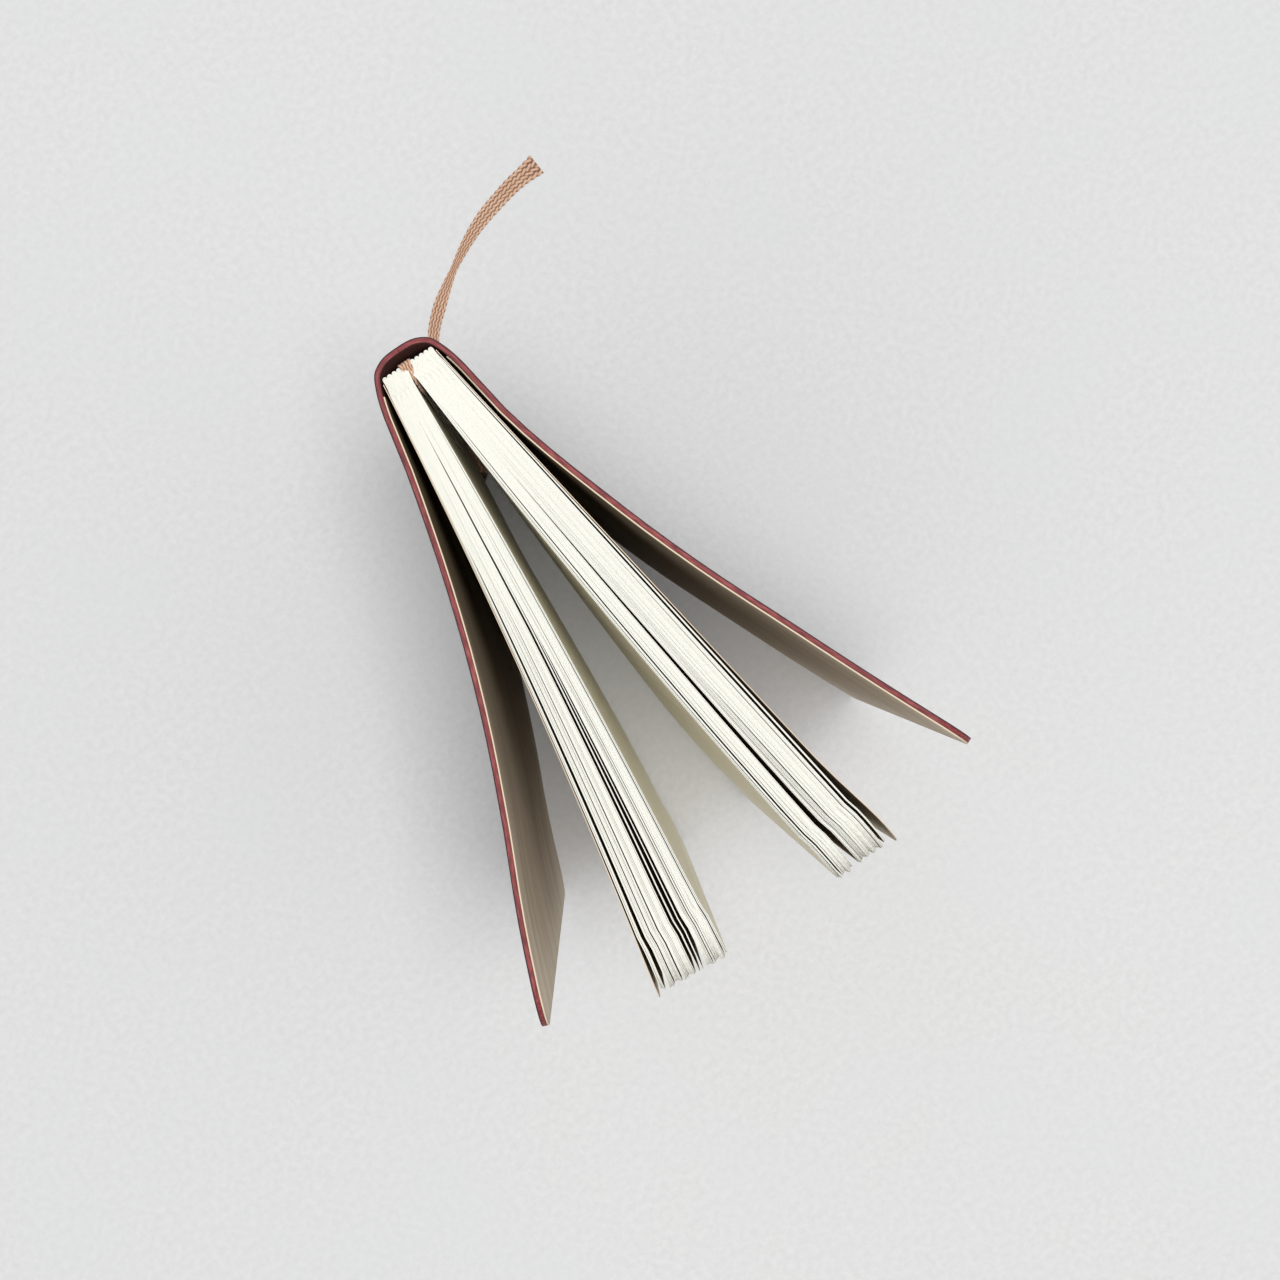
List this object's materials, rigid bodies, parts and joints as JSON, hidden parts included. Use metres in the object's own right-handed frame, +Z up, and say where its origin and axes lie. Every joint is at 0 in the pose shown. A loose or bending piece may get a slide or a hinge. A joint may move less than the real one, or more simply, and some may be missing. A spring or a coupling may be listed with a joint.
{
  "type": "notebook",
  "caption": "Soft-cover notebook with rounded corners and a ribbon marker, standing on its tail with covers and pages fanned open.",
  "frame": {"origin": "middle of the footprint on the surface that the notebook stands on, the ribbon's free end left out of that middle", "axes": "+Z up, from tail to head; -Y from the spine to the fore-edges, along the middle of the open fan; +X towards the back cover"},
  "size_m": [0.1101, 0.1838, 0.2108],
  "materials": {
    "cover_leather": "soft grained skin over a maroon core",
    "page_paper": "matt uncoated",
    "endpaper": "matt, a little heavier than the pages",
    "lining_paper": "matt kraft strip",
    "ribbon_weave": "plaited weave"
  },
  "bodies": {
    "spine_and_pages": {"text_block": "page_paper", "spine_cover": "cover_leather", "spine_lining": "lining_paper", "front_flyleaf": "endpaper", "back_flyleaf": "endpaper", "ribbon_marker": "ribbon_weave"},
    "front_cover_side": {"front_cover": "cover_leather", "front_pastedown": "endpaper"},
    "back_cover_side": {"back_cover": "cover_leather", "back_pastedown": "endpaper"}
  },
  "joints": [
    {"name": "front_cover_hinge", "type": "hinge", "parent": "spine_and_pages", "child": "front_cover_side", "pos_m": [-0.00773, 0.0638, 0.00045], "axis": [0, 0, -1], "range_deg": [-4, 158]},
    {"name": "back_cover_hinge", "type": "hinge", "parent": "spine_and_pages", "child": "back_cover_side", "pos_m": [0.00729, 0.0638, 0.00045], "axis": [0, 0, 1], "range_deg": [-1, 158]}
  ]
}
